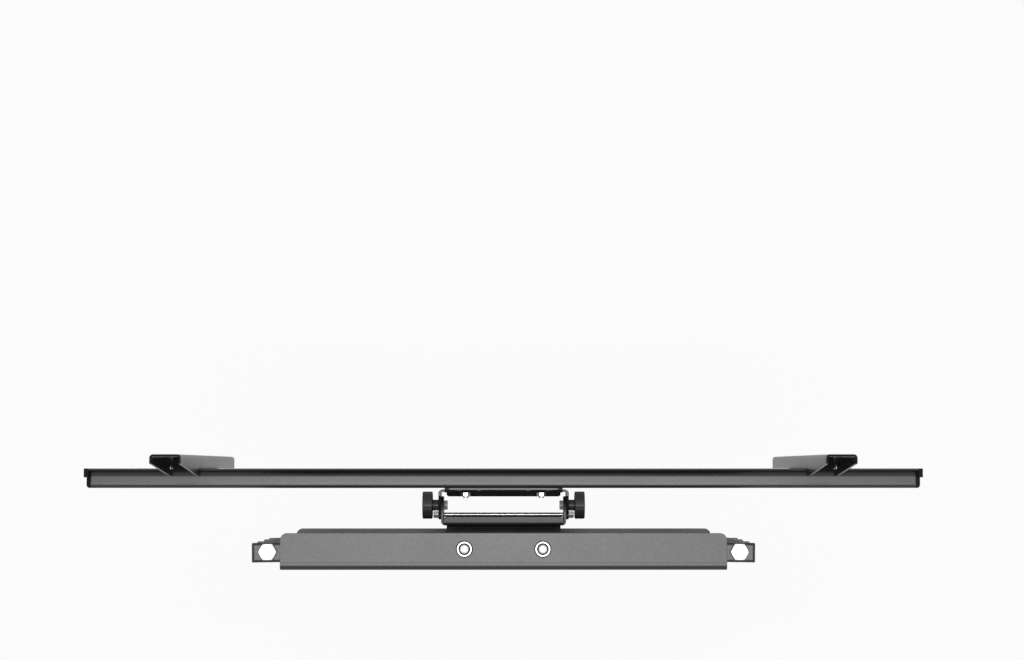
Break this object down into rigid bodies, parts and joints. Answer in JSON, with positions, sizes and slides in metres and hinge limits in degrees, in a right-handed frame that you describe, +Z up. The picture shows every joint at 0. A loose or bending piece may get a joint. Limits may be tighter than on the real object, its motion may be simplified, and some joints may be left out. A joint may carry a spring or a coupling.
{
  "type": "swivel tv wall mount",
  "caption": "Folding twin-arm wall mount that carries a flat screen on two rails and pulls out, tilts and folds flat to the wall.",
  "frame": {"origin": "centre of the wall plate's back face, in the middle of the stud slots", "axes": "+Z up, -Y away from the wall towards the screen, X along the wall"},
  "size_m": [0.85, 0.1155, 0.42],
  "materials": {
    "powder_coat": "satin black powder coat with a fine orange peel",
    "dark_powder_coat": "black oxide",
    "bright_zinc": "bright zinc plate",
    "black_plastic": "fine moulded grain",
    "bush_bronze": "sintered bronze"
  },
  "bodies": {
    "wall": {"wall_plate": "powder_coat", "wall_pivot_rivets": "bright_zinc", "wall_pivot_washers": "bright_zinc"},
    "rear_arm_left": {"rear_arm_left": "powder_coat", "wall_bushes_left": "bush_bronze", "elbow_bolt_left": "bright_zinc", "elbow_nut_left": "bright_zinc", "elbow_washers_left": "bright_zinc", "elbow_spacers_left": "dark_powder_coat"},
    "rear_arm_right": {"rear_arm_right": "powder_coat", "wall_bushes_right": "bush_bronze", "elbow_bolt_right": "bright_zinc", "elbow_nut_right": "bright_zinc", "elbow_washers_right": "bright_zinc", "elbow_spacers_right": "dark_powder_coat"},
    "forearm_left": {"forearm_left": "powder_coat", "elbow_bush_left": "bush_bronze", "head_bush_left": "bush_bronze"},
    "forearm_right": {"forearm_right": "powder_coat", "elbow_bush_right": "bush_bronze", "head_bush_right": "bush_bronze"},
    "head": {"head_bracket": "powder_coat", "head_pivot_pins": "bright_zinc", "head_pivot_washers": "bright_zinc", "tilt_base": "powder_coat", "tilt_base_rivets": "powder_coat", "tilt_axle": "bright_zinc", "axle_nuts": "bright_zinc", "clamp_bolts": "bright_zinc"},
    "screen_frame": {"tilt_yoke": "powder_coat", "yoke_bolts": "bright_zinc", "yoke_nuts": "bright_zinc", "centre_plate": "powder_coat", "rail_upper": "powder_coat", "rail_lower": "powder_coat", "rail_rivets": "powder_coat", "rail_end_caps": "black_plastic"},
    "bracket_left": {"bracket_left": "powder_coat", "hook_rivet_left": "bright_zinc", "bracket_latch_left": "dark_powder_coat", "latch_screw_left": "bright_zinc"},
    "bracket_right": {"bracket_right": "powder_coat", "hook_rivet_right": "bright_zinc", "bracket_latch_right": "dark_powder_coat", "latch_screw_right": "bright_zinc"},
    "knob_left": {"clamp_knob_left": "black_plastic"},
    "knob_right": {"clamp_knob_right": "black_plastic"}
  },
  "joints": [
    {"name": "left_rear_swing", "type": "hinge", "parent": "wall", "child": "rear_arm_left", "pos_m": [-0.0395, -0.021, 0], "axis": [0, 0, 1], "range_deg": [0, 67]},
    {"name": "right_rear_swing", "type": "hinge", "parent": "wall", "child": "rear_arm_right", "pos_m": [0.0395, -0.021, 0], "axis": [0, 0, -1], "range_deg": [0, 67]},
    {"name": "left_elbow", "type": "hinge", "parent": "rear_arm_left", "child": "forearm_left", "pos_m": [-0.23748, -0.0182, 0], "axis": [0, 0, -1], "range_deg": [0, 134]},
    {"name": "right_elbow", "type": "hinge", "parent": "rear_arm_right", "child": "forearm_right", "pos_m": [0.23748, -0.0182, 0], "axis": [0, 0, 1], "range_deg": [0, 134]},
    {"name": "head_pivot", "type": "hinge", "parent": "forearm_left", "child": "head", "pos_m": [-0.0395, -0.0154, 0], "axis": [0, 0, 1], "range_deg": [0, 67]},
    {"name": "tilt", "type": "hinge", "parent": "head", "child": "screen_frame", "pos_m": [0, -0.0538, 0], "axis": [1, 0, 0], "range_deg": [-5, 15]},
    {"name": "left_bracket_slide", "type": "slide", "parent": "screen_frame", "child": "bracket_left", "axis": [-1, 0, 0], "range_m": [-0.22, 0.08]},
    {"name": "right_bracket_slide", "type": "slide", "parent": "screen_frame", "child": "bracket_right", "axis": [1, 0, 0], "range_m": [-0.22, 0.08]},
    {"name": "left_knob_turn", "type": "hinge", "parent": "head", "child": "knob_left", "pos_m": [-0.08, -0.0637, 0], "axis": [-1, 0, 0], "continuous": true},
    {"name": "right_knob_turn", "type": "hinge", "parent": "head", "child": "knob_right", "pos_m": [0.08, -0.0637, 0], "axis": [1, 0, 0], "continuous": true}
  ],
  "couplings": [
    {"joint": "right_rear_swing", "follows": "left_rear_swing", "ratio": 1},
    {"joint": "left_elbow", "follows": "left_rear_swing", "ratio": 2},
    {"joint": "right_elbow", "follows": "left_rear_swing", "ratio": 2},
    {"joint": "head_pivot", "follows": "left_rear_swing", "ratio": 1}
  ]
}
